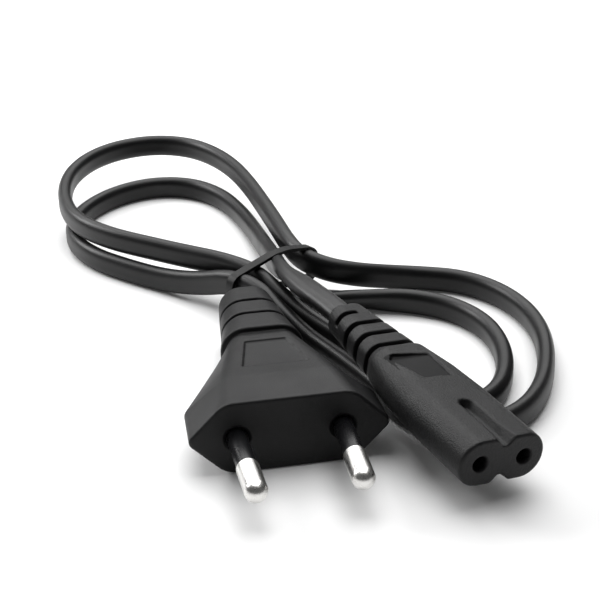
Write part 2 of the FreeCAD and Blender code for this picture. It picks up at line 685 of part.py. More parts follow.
grip_corners = [(-2.4, 4.6), (3.0, 4.2), (3.4, 12.4), (-3.6, 14.0), (-4.6, 12.6)]
recess_top = nose_high + grip_bulge.value - recess_depth.value
recess_outline = Part.makePolygon([
    Vector(x, grip_start.value + along, recess_top) for x, along in grip_corners + grip_corners[:1]])
recess = doc.addObject("Part::Extrusion", "grip_recess")
recess.Base = feature("grip_recess_outline", recess_outline)
recess.Dir = Vector(0, 0, 1)
bind(recess, "LengthFwd", recess_depth + SPARE)
recess.Solid = True
connector_tools.append(recess)

cord_in_connector = feature("cord_in_connector", cord_shape.copy())
cord_in_connector.Placement = connector_place.inverse()
connector_solid = joined("Part::Cut", "connector_shell", joined("Part::Cut", "connector_cut", connector_block,
                         gathered("connector_cuts", connector_tools)),
                         gathered("connector_contents", connector_inner + [cord_in_connector]))
doc.recompute()
nodes.append(settle("connector_overmould", connector_solid, connector_place))
for piece in connector_inner:
    piece.Placement = connector_place.multiply(piece.Placement)
    nodes.append(piece)


# Twist tie, upright round the four strands; its tape is a band and its wire lies in the middle of the band.
def grown(corners, margin):
    """The same outline with every side moved outwards; its corners run clockwise, and the arcs stay tangent."""
    result = []
    count = len(corners)
    for index, (x, z, radius) in enumerate(corners):
        here = Vector(x, 0, z)
        before = here - Vector(corners[index - 1][0], 0, corners[index - 1][1])
        after = Vector(corners[(index + 1) % count][0], 0, corners[(index + 1) % count][1]) - here
        before.normalize()
        after.normalize()
        out_before = Vector(-before.z, 0, before.x)
        out_after = Vector(-after.z, 0, after.x)
        shift = (out_before + out_after) * (margin / (1 + out_before.dot(out_after)))
        result.append((x + shift.x, z + shift.z, radius + margin))
    return result


# Inside of the tie, chosen by hand round the strands: (along the tie, up from its middle, corner radius).
TIE_CORNERS = [(-10.5, -3.05, 2.0), (-10.5, 0.75, 2.0), (1.0, 3.2, 8.0), (4.5, 3.2, 8.0), (11.75, 1.75, 2.2), (11.75, -4.65, 2.0)]
wire_path = rounded_outline(grown(TIE_CORNERS, tie_thickness.value / 2), 0)
wire_shape = wire_path.makePipe(round_face(tie_wire.value, wire_path.Edges[0]))
outer = doc.addObject("Part::Extrusion", "tie_outside")
outer.Base = feature("tie_outer_outline", rounded_outline(grown(TIE_CORNERS, tie_thickness.value), 0))
inner = doc.addObject("Part::Extrusion", "tie_inside")
inner.Base = feature("tie_inner_outline", rounded_outline(TIE_CORNERS, 0))
for block in (outer, inner):
    block.Dir = Vector(0, 1, 0)
    bind(block, "LengthFwd", tie_width / 2)
    bind(block, "LengthRev", tie_width / 2)
    block.Solid = True
tie_place = Placement(TIE_PLACE + Vector(0, 0, tie_rise.value), Rotation(Vector(0, 0, 1), tie_turn.value))
band = joined("Part::Cut", "tie_hollow", joined("Part::Cut", "tie_band", outer, inner), feature("tie_wire_space", wire_shape))
doc.recompute()
nodes.append(settle("twist_tie_tape", band, tie_place))
wire_node = feature("twist_tie_wire", wire_shape)
wire_node.Placement = tie_place
nodes.append(wire_node)
doc.recompute()

for thing in doc.Objects:
    if "Invalid" in thing.State or "Error" in thing.State:
        raise RuntimeError(thing.Label + " did not recompute")
os.makedirs("parts", exist_ok=True)
for node in nodes:
    shape = node.Shape
    if shape.isNull() or not shape.isValid() or len(shape.Solids) != 1:
        raise RuntimeError(node.Label + " is not one valid solid: " + str(len(shape.Solids)))
    shape.exportStep("parts/" + node.Label + ".step")
    print(node.Label, round(shape.Volume, 1))
box = FreeCAD.BoundBox()
for node in nodes:
    if node.Label == "cord" or node.Label.startswith("twist_tie"):
        continue
    box.add(node.Shape.optimalBoundingBox(False))
print("box of plug and connector", [round(value, 3) for value in (box.XMin, box.XMax, box.YMin, box.YMax, box.ZMin, box.ZMax)])
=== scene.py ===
"""Studio scene of a figure eight power lead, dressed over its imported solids."""
import json
import math

import bmesh
import bpy
from mathutils import Matrix, Vector

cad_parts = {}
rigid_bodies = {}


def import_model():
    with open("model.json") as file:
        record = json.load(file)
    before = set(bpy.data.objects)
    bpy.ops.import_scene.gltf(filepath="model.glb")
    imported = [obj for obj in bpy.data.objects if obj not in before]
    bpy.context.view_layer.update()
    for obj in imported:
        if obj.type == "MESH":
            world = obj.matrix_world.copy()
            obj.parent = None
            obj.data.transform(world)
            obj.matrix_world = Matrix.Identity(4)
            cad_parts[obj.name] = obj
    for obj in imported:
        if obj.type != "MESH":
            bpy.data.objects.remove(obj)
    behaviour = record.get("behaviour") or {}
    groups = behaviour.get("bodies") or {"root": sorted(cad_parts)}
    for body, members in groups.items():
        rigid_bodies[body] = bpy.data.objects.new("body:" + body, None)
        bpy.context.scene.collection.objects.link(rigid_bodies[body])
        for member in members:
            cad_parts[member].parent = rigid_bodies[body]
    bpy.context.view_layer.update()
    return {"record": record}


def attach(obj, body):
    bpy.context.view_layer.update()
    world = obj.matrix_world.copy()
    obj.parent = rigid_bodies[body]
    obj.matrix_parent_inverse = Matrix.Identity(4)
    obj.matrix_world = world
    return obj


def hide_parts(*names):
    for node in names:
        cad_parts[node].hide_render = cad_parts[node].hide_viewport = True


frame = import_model()
MM = 0.001

# Places of the two ends in the part's frame, in millimetres and radians, as in the part's source.
PLUG_PLACE = Vector((-10.89, -14.73, 0.0))
PIN_PLANE = 6.85
CONNECTOR_PLACE = Vector((20.61, -33.93, 8.25))
CONNECTOR_YAW = math.radians(16.0)
CONNECTOR_PITCH = math.radians(4.0)
CONNECTOR_ROLL = math.radians(-6.5)

# Plug wedge: (depth, flat half width, ridge half width, half height, top radius, side radius).
WEDGE_STATIONS = [
    (0.0, 11.4, 18.2, 6.85, 4.6, 1.5),
    (9.8, 9.5, 18.2, 6.85, 4.6, 1.5),
    (30.0, 5.4, 7.7, 5.7, 3.4, 2.4),
]
WEDGE_END = 30.0

# Plug neck: (depth, half width, half height, corner radius), then insets as (depth, inset) where it meets the
# wedge, and a rounded end as (start, end, radius).
NECK_STATIONS = [
    (28.8, 8.1, 6.85, 4.9),
    (34.0, 7.1, 6.7, 4.9),
    (50.0, 5.5, 5.8, 4.4),
    (50.9, 5.3, 5.7, 4.3),
]
NECK_ROOT = [(28.8, 0.3), (29.1, 0.0)]
NECK_LIP = (50.0, 50.9, 0.9)
PLUG_GROOVES = [35.6, 42.4]
PLUG_GROOVE_WIDTH = 1.0
GROOVE_DEPTH = 1.2
GROOVE_SLOPE = 0.12
PANEL_FRONT_HALF = 6.0
PANEL_BACK_HALF = 3.9
PANEL_FRONT = 13.8
PANEL_BACK = 25.1
PANEL_DEPTH = 0.45
PIN_SPACING = 18.6
PIN_LEAN = math.radians(1.66)
WELL_RADIUS = 2.35
WELL_DEPTH = 0.4
WELL_STEP = 0.01
WELL_BEHIND = 1.0
SLEEVE_RADIUS = 1.8

# Connector: (depth, half width, half height, corner radius).
CONNECTOR_STATIONS = [
    (0.0, 8.3, 4.25, 4.05),
    (17.0, 8.2, 4.35, 4.05),
    (25.3, 7.55, 4.45, 4.05),
    (33.6, 6.0, 4.25, 3.4),
    (34.6, 5.7, 3.7, 3.0),
    (52.4, 3.9, 3.2, 2.6),
    (54.0, 3.7, 3.1, 2.5),
]
NOSE_TOP = 4.25
RELIEF_END = 54.0
RELIEF_LIP = (53.1, 54.0, 0.9)
CONNECTOR_GROOVES = [35.0, 39.7, 44.4]
CONNECTOR_GROOVE_WIDTH = 1.3

# The last groove runs over the left half of the top only, and ends a little to the right of the middle.
SHORT_GROOVE = 49.1
SHORT_GROOVE_WIDTH = 1.2
SHORT_GROOVE_RIGHT = 0.2
SHORT_GROOVE_BOTTOM = 0.5
SHORT_GROOVE_BEFORE = 1
SHORT_GROOVE_BEHIND = 3
RING_REACH = 2
RING_ROUNDING = 1
BLOCK_REACH = 9

# Sockets, slot with its notch at the face, and the grip's recess.
SOCKET_SPACING = 8.6
SOCKET_RADIUS = 1.3
SOCKET_DEPTH = 13.5
MOUTH_RADIUS = 1.5
MOUTH_DEPTH = 0.6
SLOT_HALF = 1.4
SLOT_FLOOR_HALF = 0.6
SLOT_LENGTH = 13.2
SLOT_FLOOR = 2.75
NOTCH_HALF = 2.3
NOTCH_RUN = 4.0
RECESS_TOP = 3.95
RECESS_TILT = 0.06
RECESS_RIGHT = 3.4
# Where the recess's painted shade goes: its middle and half sizes across and along, and the heights between
# which faces take it.
RECESS_MIDDLE = (-0.5, 26.0)
RECESS_HALF = (4.6, 5.2)
RECESS_LOW = 3.2
RECESS_HIGH = 4.1
GRIP_CORNERS = [(-2.4, 21.6), (3.0, 21.2), (3.4, 29.4), (-3.6, 31.0), (-4.6, 29.6)]
GRIP_FLARE = 1.1
GRIP_CUT_TOP = 6.0

# How finely the mouldings are meshed, and how far their edges are softened.
VOXEL = 0.22
SOFTEN_SHARE = 0.5
SOFTEN_ROUNDS = 4
LIP = 0.45
LIP_STEPS = 4
STEP = 0.8
CORNER_STEPS = 10
TURNED_STEPS = 48
SPARE = 1.0

# How an inset over the whole girth moves the flats' ends, the ridges and the corner radii.
FLAT_INSET = 0.6
RIDGE_INSET = 1.25
CORNER_INSET = 0.8

# The cord stands on edge in its loops. It lies flat at the plug and at the connector, and turns in between.
CORD_WIDTH = 5.4
CORD_THICKNESS = 3.6
CORD_FULLNESS = 0.87
VALLEY_DEPTH = 0.14
VALLEY_WIDTH = 0.9
PLUG_FLAT_RUN = 28.0
CONNECTOR_FLAT_RUN = 22.0
TWIST_RUN = 26.0
SECTION_POINTS = 36
LINE_STEPS = 6

# The cord's route from its seat in the plug, in the plug's millimetres. Two more points are added in the
# connector's own space: behind its relief, and at the cord's seat inside it.
RELIEF_RUN_OUT = 3.6
CORD_SEAT = 46.0
CORD_ROUTE = [
    (0, 46, 6.85), (0, 51.8, 6.85), (0.6, 57.0, 4.1), (3.4, 62.0, 2.4), (9.0, 64.4, 2.2), (15.6, 64.0, 2.2),
    (22, 61.6, 2.7), (29, 59.0, 2.7), (37.4, 56.0, 2.7), (44.2, 50.2, 2.7), (48.2, 40.6, 2.7),
    (48.0, 29.6, 2.7),
    (45.2, 19.4, 2.7), (40.8, 11.6, 2.7), (34.4, 7.6, 2.7), (28.2, 9.8, 2.7), (25.0, 16.4, 2.7),
    (23.2, 25.4, 2.7), (20.4, 35.0, 2.7), (16.4, 43.8, 2.9), (11.8, 51.4, 4.0), (8.2, 58.6, 6.1),
    (4.6, 65.4, 8.2), (-1.2, 72.8, 8.4), (-8.6, 79.6, 8.2), (-16, 86.4, 8.2), (-24.2, 94.2, 8.2),
    (-30.6, 103.8, 8.2), (-33.4, 115, 8.2), (-33.6, 127, 8.6), (-31.2, 138.6, 9.0), (-25.6, 148.4, 9.4),
    (-17.6, 155.2, 9.4), (-8.2, 157.0, 9.4), (0.4, 152.8, 9.4), (6.2, 143.6, 9.4), (9.8, 131.6, 9.4),
    (11.6, 118.4, 9.4), (12.6, 105, 9.4), (13.4, 92, 9.4), (14.0, 80, 9.2), (15.2, 71.4, 8.8),
    (20.0, 66.4, 7.6), (27.0, 65.8, 5.8), (34.6, 67.6, 3.8), (42.2, 67.6, 2.7), (50.0, 63.8, 2.7),
    (55.8, 55.6, 2.7), (58.4, 44.6, 2.7), (57.6, 33, 2.7), (54.4, 22, 2.7), (49.8, 12, 2.7),
    (43.6, 4.2, 2.7), (36.0, 0.2, 2.7), (28.2, 1.6, 2.7), (22.8, 8.0, 2.7), (20.4, 16.6, 2.7),
    (18.0, 25.0, 2.7), (14.8, 34, 2.7), (11.2, 42.4, 3.0), (7.4, 50.6, 5.2), (3.8, 58.2, 7.8),
    (-1.0, 64.8, 7.7), (-6.4, 72.0, 4.6), (-13.4, 79.8, 2.7), (-21.4, 88, 2.7), (-28.6, 97, 2.7),
    (-32.6, 107.6, 2.7), (-32.4, 119, 2.7), (-27.8, 129.6, 2.7), (-20.2, 138.0, 2.7), (-10.4, 142.2, 2.7),
    (-0.6, 139.2, 2.7), (6.0, 129.2, 2.7), (9.0, 115.6, 2.8), (10.2, 101.6, 3.4), (10.2, 88.4, 5.2),
    (9.8, 76.6, 7.6), (9.5, 66.0, 9.6), (10.4, 55.8, 11.5), (12.4, 46.6, 12.1),
]

# Camera, from the photograph: focal length and picture side in pixels, place in millimetres, angles in
# radians, sensor in millimetres, and the clipping distances in metres.
PICTURE_SIDE = 600.0
FOCAL_PIXELS = 1400.0
CAMERA_PLACE = Vector((-45.99, -221.03, 127.0))
CAMERA_YAW = -0.179
CAMERA_PITCH = 0.427
CAMERA_ROLL = -0.026
SENSOR_WIDTH = 36.0
CLIP_NEAR = 0.01
CLIP_FAR = 20.0

# Stage: the paper's own glow rises between two distances in metres, from faint nearby to full far off.
# The world's fill and the glow are strengths, and a softbox is (name, place, target, size, watts).
FLOOR_DROP = -0.02
FLOOR_HALF = 6.0
PAPER_COLOUR = (0.88, 0.88, 0.88, 1)
PAPER_ROUGHNESS = 0.6
PAPER_SPECULAR = 0.1
PAPER_GLOW = 0.03
FAR_PAPER_GLOW = 1.0
GLOW_START = 0.25
GLOW_FULL = 0.9
WORLD_FILL = 0.07
SOFTBOXES = [
    ("back_softbox", (0.1, 0.75, 0.6), (0.0, 0.03, 0.0), (1.0, 0.5), 4.5),
    ("top_softbox", (0.05, 0.2, 0.75), (0.0, 0.03, 0.0), (0.8, 0.7), 6.5),
    ("left_softbox", (-0.5, 0.45, 0.4), (0.0, 0.0, 0.0), (0.35, 0.35), 3.6),
]

# Moulded grain with painted glints, and drawn metal: what both groups give, the scales of their noise, and
# the ranges of it that become clouds, painted glint dots and lines.
EFFECT_OUTPUTS = [
    ("Colour", "NodeSocketColor"),
    ("Roughness", "NodeSocketFloat"),
    ("Height", "NodeSocketFloat"),
]
CLOUD_SCALE = 90.0
CLOUD_RANGE = (0.3, 0.7)
SPECK_SCALE = 2600.0
SPECK_EDGE = (0.02, 0.12)
SPECK_SHARE = (0.6, 0.66)
SPECK_SPREAD = 6
SPECK_GLINT = 4.0
TARNISH_SCALE = 4
TARNISH_RANGE = (0.35, 0.65)
LINE_STRETCH = (1.0, 0.04, 1.0)
LINE_RANGE = (0.3, 0.7)
LINE_WEAR = (0.8, 1.25)

# Base colours. The outer blacks were set until the render's brightness came near the photograph's.
PLUG_BLACK = (0.007, 0.007, 0.0074)
# A darker black for the grip's recess: painted shade.
RECESS_SHADE_BLACK = (0.006, 0.006, 0.0064)
CORD_BLACK = (0.004, 0.004, 0.0043)
HARD_BLACK = (0.03, 0.03, 0.032)
SLEEVE_BLACK = (0.008, 0.008, 0.009)
TIE_BLACK = (0.005, 0.005, 0.005)
CORE_BLUE = (0.05, 0.2, 0.6)
CORE_BROWN = (0.25, 0.12, 0.06)
NICKEL = (0.74, 0.73, 0.71)
BRASS = (0.78, 0.62, 0.32)
COPPER = (0.85, 0.48, 0.3)
STEEL = (0.5, 0.5, 0.5)


def plug_space():
    return Matrix.Translation(PLUG_PLACE + Vector((0, 0, PIN_PLANE)))


def connector_space():
    turn = Matrix.Rotation(CONNECTOR_YAW, 4, "Z") @ Matrix.Rotation(CONNECTOR_PITCH, 4, "X")
    return Matrix.Translation(CONNECTOR_PLACE) @ turn @ Matrix.Rotation(-CONNECTOR_ROLL, 4, "Y")


def in_metres(space):
    """The same place with its shift in metres, for a piece whose own mesh is in metres."""
    scaled = space.copy()
    scaled.translation = space.translation * MM
    return scaled


def add_object(name, data):
    holder = bpy.data.objects.new(name, data)
    bpy.context.collection.objects.link(holder)
    return holder


# Camera and stage
def add_camera():
    data = bpy.data.cameras.new("photo_camera")
    data.sensor_width = SENSOR_WIDTH
    data.lens = data.sensor_width * FOCAL_PIXELS / PICTURE_SIDE
    data.clip_start = CLIP_NEAR
    data.clip_end = CLIP_FAR
    camera = add_object("photo_camera", data)
    level_reach = math.cos(CAMERA_PITCH)
    forward = Vector((-math.sin(CAMERA_YAW) * level_reach, math.cos(CAMERA_YAW) * level_reach,
                      -math.sin(CAMERA_PITCH)))
    level_right = Vector((math.cos(CAMERA_YAW), math.sin(CAMERA_YAW), 0))
    level_up = level_right.cross(forward)
    right = level_right * math.cos(CAMERA_ROLL) + level_up * math.sin(CAMERA_ROLL)
    up = right.cross(forward)
    turn = Matrix((right, up, -forward)).transposed().to_4x4()
    camera.matrix_world = Matrix.Translation(CAMERA_PLACE * MM) @ turn
    bpy.context.scene.camera = camera


def area_light(name, place, target, size, energy):
    data = bpy.data.lights.new(name, "AREA")
    data.shape = "RECTANGLE"
    data.size, data.size_y = size
    data.energy = energy
    light = add_object(name, data)
    light.location = place
    light.rotation_euler = (Vector(target) - Vector(place)).to_track_quat("-Z", "Y").to_euler()


def seen_directly(nodes, links):
    """One where a camera, glossy or transmission ray meets the surface, nothing for rays that light it."""
    path = nodes.new("ShaderNodeLightPath")
    seen = path.outputs["Is Camera Ray"]
    for title in ("Is Glossy Ray", "Is Transmission Ray"):
        either = nodes.new("ShaderNodeMath")
        either.operation = "MAXIMUM"
        links.new(seen, either.inputs[0])
        links.new(path.outputs[title], either.inputs[1])
        seen = either.outputs[0]
    return seen


def floor_material():
    """White paper: it takes the object's shadow, and far off its own glow makes the white background."""
    material = bpy.data.materials.new("studio_paper")
    material.use_nodes = True
    nodes, links = material.node_tree.nodes, material.node_tree.links
    shader = nodes["Principled BSDF"]
    shader.inputs["Base Color"].default_value = PAPER_COLOUR
    shader.inputs["Roughness"].default_value = PAPER_ROUGHNESS
    shader.inputs["Specular IOR Level"].default_value = PAPER_SPECULAR
    place = nodes.new("ShaderNodeTexCoord")
    distance = nodes.new("ShaderNodeVectorMath")
    distance.operation = "LENGTH"
    links.new(place.outputs["Object"], distance.inputs[0])
    paleness = nodes.new("ShaderNodeMapRange")
    paleness.interpolation_type = "SMOOTHSTEP"
    steps = {"From Min": GLOW_START, "From Max": GLOW_FULL, "To Min": PAPER_GLOW, "To Max": FAR_PAPER_GLOW}
    for title, value in steps.items():
        paleness.inputs[title].default_value = value
    links.new(distance.outputs["Value"], paleness.inputs["Value"])
    glow = nodes.new("ShaderNodeMath")
    glow.operation = "MULTIPLY"
    links.new(paleness.outputs["Result"], glow.inputs[1])
    links.new(seen_directly(nodes, links), glow.inputs[0])
    shader.inputs["Emission Color"].default_value = (1, 1, 1, 1)
    links.new(glow.outputs[0], shader.inputs["Emission Strength"])
    return material


def add_world():
    world = bpy.data.worlds.new("studio_world")
    bpy.context.scene.world = world
    world.use_nodes = True
    nodes, links = world.node_tree.nodes, world.node_tree.links
    background = nodes["Background"]
    background.inputs["Color"].default_value = (1, 1, 1, 1)
    level = nodes.new("ShaderNodeMapRange")
    level.inputs["To Min"].default_value = WORLD_FILL
    level.inputs["To Max"].default_value = 1.0
    path = nodes.new("ShaderNodeLightPath")
    links.new(path.outputs["Is Camera Ray"], level.inputs["Value"])
    links.new(level.outputs["Result"], background.inputs["Strength"])


def add_studio():
    mesh = bpy.data.meshes.new("studio_floor")
    corners = [(x * FLOOR_HALF, y * FLOOR_HALF, 0) for x, y in ((-1, -1), (1, -1), (1, 1), (-1, 1))]
    mesh.from_pydata(corners, [], [(0, 1, 2, 3)])
    floor = add_object("studio_floor", mesh)
    floor.location = (0, 0, FLOOR_DROP * MM)
    mesh.materials.append(floor_material())
    add_world()
    for name, place, target, size, energy in SOFTBOXES:
        area_light(name, place, target, size, energy)


# Shader effects
def new_group(name, inputs, outputs):
    group = bpy.data.node_groups.new(name, "ShaderNodeTree")
    for title, kind, value in inputs:
        socket = group.interface.new_socket(title, in_out="INPUT", socket_type=kind)
        socket.default_value = value
    for title, kind in outputs:
        group.interface.new_socket(title, in_out="OUTPUT", socket_type=kind)
    start = group.nodes.new("NodeGroupInput")
    end = group.nodes.new("NodeGroupOutput")
    return group, start, end


def give(group, socket, value):
    """Sets a socket inside a group to a number, or links another socket to it."""
    if isinstance(value, (int, float)):
        socket.default_value = value
    else:
        group.links.new(value, socket)


def calculate(group, operation, first, second):
    """The result of one operation on two numbers or sockets inside a group."""
    node = group.nodes.new("ShaderNodeMath")
    node.operation = operation
    for socket, value in zip(node.inputs, (first, second)):
        give(group, socket, value)
    return node.outputs[0]


def noise(group, vector, scale, detail=3.0, roughness=0.55):
    node = group.nodes.new("ShaderNodeTexNoise")
    node.inputs["Detail"].default_value = detail
    node.inputs["Roughness"].default_value = roughness
    group.links.new(vector, node.inputs["Vector"])
    give(group, node.inputs["Scale"], scale)
    return node.outputs["Fac"]


def spread(group, value, low, high, new_low, new_high):
    """Maps a value's middle range onto a new one, clamped."""
    node = group.nodes.new("ShaderNodeMapRange")
    group.links.new(value, node.inputs["Value"])
    for title, amount in (("From Min", low), ("From Max", high), ("To Min", new_low), ("To Max", new_high)):
        give(group, node.inputs[title], amount)
    return node.outputs["Result"]


def tinted(group, colour, share):
    node = group.nodes.new("ShaderNodeVectorMath")
    node.operation = "SCALE"
    group.links.new(colour, node.inputs[0])
    group.links.new(share, node.inputs["Scale"])
    return node.outputs["Vector"]


def grain_and_painted_glints_group():
    """Fine grain of a moulded soft plastic, with faint clouds and patches of small bumps whose colour is
    brightened into painted glints.
    """
    group, start, end = new_group("grain_and_painted_glints", [
        ("Colour", "NodeSocketColor", (0.03, 0.03, 0.03, 1)),
        ("Grain Size", "NodeSocketFloat", 0.00035),
        ("Roughness", "NodeSocketFloat", 0.5),
        ("Mottle", "NodeSocketFloat", 0.15),
        ("Painted Glints", "NodeSocketFloat", 0.3),
    ], EFFECT_OUTPUTS)
    place = group.nodes.new("ShaderNodeTexCoord").outputs["Object"]
    fine = noise(group, place, calculate(group, "DIVIDE", 1.0, start.outputs["Grain Size"]), 4.0, 0.6)
    cloud = noise(group, place, CLOUD_SCALE)
    low = calculate(group, "SUBTRACT", 1.0, start.outputs["Mottle"])
    high = calculate(group, "ADD", 1.0, start.outputs["Mottle"])
    shade = spread(group, cloud, *CLOUD_RANGE, low, high)
    dots = group.nodes.new("ShaderNodeTexVoronoi")
    group.links.new(place, dots.inputs["Vector"])
    dots.inputs["Scale"].default_value = SPECK_SCALE
    speck = spread(group, dots.outputs["Distance"], *SPECK_EDGE, 1.0, 0.0)
    patches = noise(group, place, SPECK_SCALE / SPECK_SPREAD, 1.0)
    chosen = spread(group, patches, *SPECK_SHARE, 0.0, 1.0)
    scattered = calculate(group, "MULTIPLY", speck, chosen)
    bright = calculate(group, "MULTIPLY", scattered, start.outputs["Painted Glints"])
    # Painted glints: the chosen dots brighten the colour, and they are small bumps in the height too.
    total = calculate(group, "ADD", shade, calculate(group, "MULTIPLY", bright, SPECK_GLINT))
    group.links.new(tinted(group, start.outputs["Colour"], total), end.inputs["Colour"])
    rough = calculate(group, "MULTIPLY", start.outputs["Roughness"], shade)
    group.links.new(rough, end.inputs["Roughness"])
    group.links.new(calculate(group, "ADD", fine, bright), end.inputs["Height"])
    return group


def drawn_metal_group():
    """Drawn or plated metal: fine lines along its length and faint tarnish clouds."""
    group, start, end = new_group("drawn_metal", [
        ("Colour", "NodeSocketColor", (0.8, 0.8, 0.8, 1)),
        ("Roughness", "NodeSocketFloat", 0.2),
        ("Tarnish", "NodeSocketFloat", 0.1),
        ("Line Scale", "NodeSocketFloat", 6000.0),
    ], EFFECT_OUTPUTS)
    place = group.nodes.new("ShaderNodeTexCoord").outputs["Object"]
    stretch = group.nodes.new("ShaderNodeVectorMath")
    stretch.operation = "MULTIPLY"
    stretch.inputs[1].default_value = LINE_STRETCH
    group.links.new(place, stretch.inputs[0])
    lines = noise(group, stretch.outputs["Vector"], start.outputs["Line Scale"], 2.0)
    cloud = noise(group, place, CLOUD_SCALE * TARNISH_SCALE)
    low = calculate(group, "SUBTRACT", 1.0, start.outputs["Tarnish"])
    shade = spread(group, cloud, *TARNISH_RANGE, low, 1.0)
    group.links.new(tinted(group, start.outputs["Colour"], shade), end.inputs["Colour"])
    worn = spread(group, lines, *LINE_RANGE, *LINE_WEAR)
    group.links.new(calculate(group, "MULTIPLY", start.outputs["Roughness"], worn), end.inputs["Roughness"])
    group.links.new(lines, end.inputs["Height"])
    return group


def finished_material(name, group_name, make_group, values, bump, metallic=0.0, specular=0.5):
    """A material whose colour, roughness and relief come from one of the effect groups."""
    material = bpy.data.materials.new(name)
    material.use_nodes = True
    nodes, links = material.node_tree.nodes, material.node_tree.links
    shader = nodes["Principled BSDF"]
    shader.inputs["Metallic"].default_value = metallic
    shader.inputs["Specular IOR Level"].default_value = specular
    effect = nodes.new("ShaderNodeGroup")
    effect.node_tree = bpy.data.node_groups.get(group_name) or make_group()
    for title, value in values.items():
        effect.inputs[title].default_value = value
    relief = nodes.new("ShaderNodeBump")
    relief.inputs["Strength"].default_value = 1.0
    relief.inputs["Distance"].default_value = bump
    links.new(effect.outputs["Height"], relief.inputs["Height"])
    links.new(effect.outputs["Colour"], shader.inputs["Base Color"])
    links.new(effect.outputs["Roughness"], shader.inputs["Roughness"])
    links.new(relief.outputs["Normal"], shader.inputs["Normal"])
    return material


def plastic(name, colour, roughness, grain_size, bump, mottle=0.12, painted_glints=0.0, specular=0.5):
    values = {"Colour": (*colour, 1), "Grain Size": grain_size, "Roughness": roughness, "Mottle": mottle,
              "Painted Glints": painted_glints}
    return finished_material(name, "grain_and_painted_glints", grain_and_painted_glints_group, values, bump, specular=specular)


def metal(name, colour, roughness, tarnish, bump):
    values = {"Colour": (*colour, 1), "Roughness": roughness, "Tarnish": tarnish}
    return finished_material(name, "drawn_metal", drawn_metal_group, values, bump, metallic=1.0)


# Mesh tools
def arc_outline(corners, steps=CORNER_STEPS):
    """Points of a closed outline whose corners, (across, up, radius), are rounded."""
    points = []
    for index, (x, z, radius) in enumerate(corners):
        here = Vector((x, z))
        back = (Vector(corners[index - 1][:2]) - here).normalized()
        on = (Vector(corners[(index + 1) % len(corners)][:2]) - here).normalized()
        half = back.angle(on) / 2
        centre = here + (back + on).normalized() * (radius / math.sin(half))
        cut = radius / math.tan(half)
        start = here + back * cut - centre
        end = here + on * cut - centre
        first = math.atan2(start.y, start.x)
        sweep = (math.atan2(end.y, end.x) - first + math.pi) % (2 * math.pi) - math.pi
        for step in range(steps + 1):
            angle = first + sweep * step / steps
            points.append(centre + Vector((math.cos(angle), math.sin(angle))) * radius)
    return points


def wedge_outline(flat, ridge, high, top, side, inset=0.0):
    flat, ridge, high = flat - FLAT_INSET * inset, ridge - RIDGE_INSET * inset, high - inset
    return arc_outline([(flat, high, top), (ridge, 0, side), (flat, -high, top),
                        (-flat, -high, top), (-ridge, 0, side), (-flat, high, top)])


def oblong_outline(wide, high, radius, inset=0.0):
    wide, high, radius = wide - inset, high - inset, radius - inset * CORNER_INSET
    return arc_outline([(wide, high, radius), (wide, -high, radius),
                        (-wide, -high, radius), (-wide, high, radius)])


def between(rows, along):
    """The values of a list of rows at one depth, straight from row to row."""
    for before, after in zip(rows, rows[1:]):
        if along <= after[0]:
            share = max(0.0, (along - before[0]) / max(1e-9, after[0] - before[0]))
            return [low + (high - low) * share for low, high in zip(before[1:], after[1:])]
    return list(rows[-1][1:])


def lip(start, end, radius):
    """Insets that round an edge over, from the depth where it starts to the depth of the open end."""
    rows = []
    for step in range(LIP_STEPS + 1):
        angle = math.pi / 2 * step / LIP_STEPS
        share = math.sin(angle)
        rows.append((start + (end - start) * share, radius * (1 - math.cos(angle))))
    return sorted(rows)


def groove(start, width, depth, slope=GROOVE_SLOPE):
    return [(start, 0.0), (start + slope, depth), (start + width - slope, depth), (start + width, 0.0)]


def body_sections(stations, outline, insets):
    """Outlines of a moulded body: its sizes run from station to station, and insets sink its whole girth."""
    insets = sorted(insets)
    places = sorted({row[0] for row in stations} | {row[0] for row in insets})
    dense = []
    for before, after in zip(places, places[1:]):
        parts = math.ceil((after - before) / STEP)
        dense += [before + (after - before) * part / parts for part in range(parts)]
    dense.append(places[-1])
    return [(along, outline(*between(stations, along), inset=between(insets, along)[0])) for along in dense]


def stitch(build, rings):
    """Side faces from ring to ring, and a cap at each end."""
    for ring, following in zip(rings, rings[1:]):
        for index in range(len(ring)):
            after = (index + 1) % len(ring)
            build.faces.new((ring[index], ring[after], following[after], following[index]))
    build.faces.new(list(reversed(rings[0])))
    build.faces.new(rings[-1])


def finished_mesh(name, build):
    bmesh.ops.recalc_face_normals(build, faces=build.faces)
    mesh = bpy.data.meshes.new(name)
    build.to_mesh(mesh)
    build.free()
    return add_object(name, mesh)


def lofted(name, sections):
    """A closed mesh through outlines across the Y axis."""
    build = bmesh.new()
    rings = [[build.verts.new((point.x, along, point.y)) for point in outline] for along, outline in sections]
    stitch(build, rings)
    return finished_mesh(name, build)


def turned(name, profile, place, steps=TURNED_STEPS):
    """A turned cutter: (radius, depth along its own Y axis), closed at both ends, set at its place."""
    angles = [2 * math.pi * index / steps for index in range(steps)]
    outlines = []
    for radius, along in profile:
        ring = [Vector((math.cos(angle) * radius, math.sin(angle) * radius)) for angle in angles]
        outlines.append((along, ring))
    holder = lofted(name, outlines)
    holder.data.transform(place)
    return holder


def prism(name, low_points, high_points):
    """A block between two outlines of the same number of points."""
    build = bmesh.new()
    low = [build.verts.new(point) for point in low_points]
    high = [build.verts.new(point) for point in high_points]
    build.faces.new(low)
    build.faces.new(list(reversed(high)))
    for index in range(len(low)):
        after = (index + 1) % len(low)
        build.faces.new((low[after], low[index], high[index], high[after]))
    return finished_mesh(name, build)


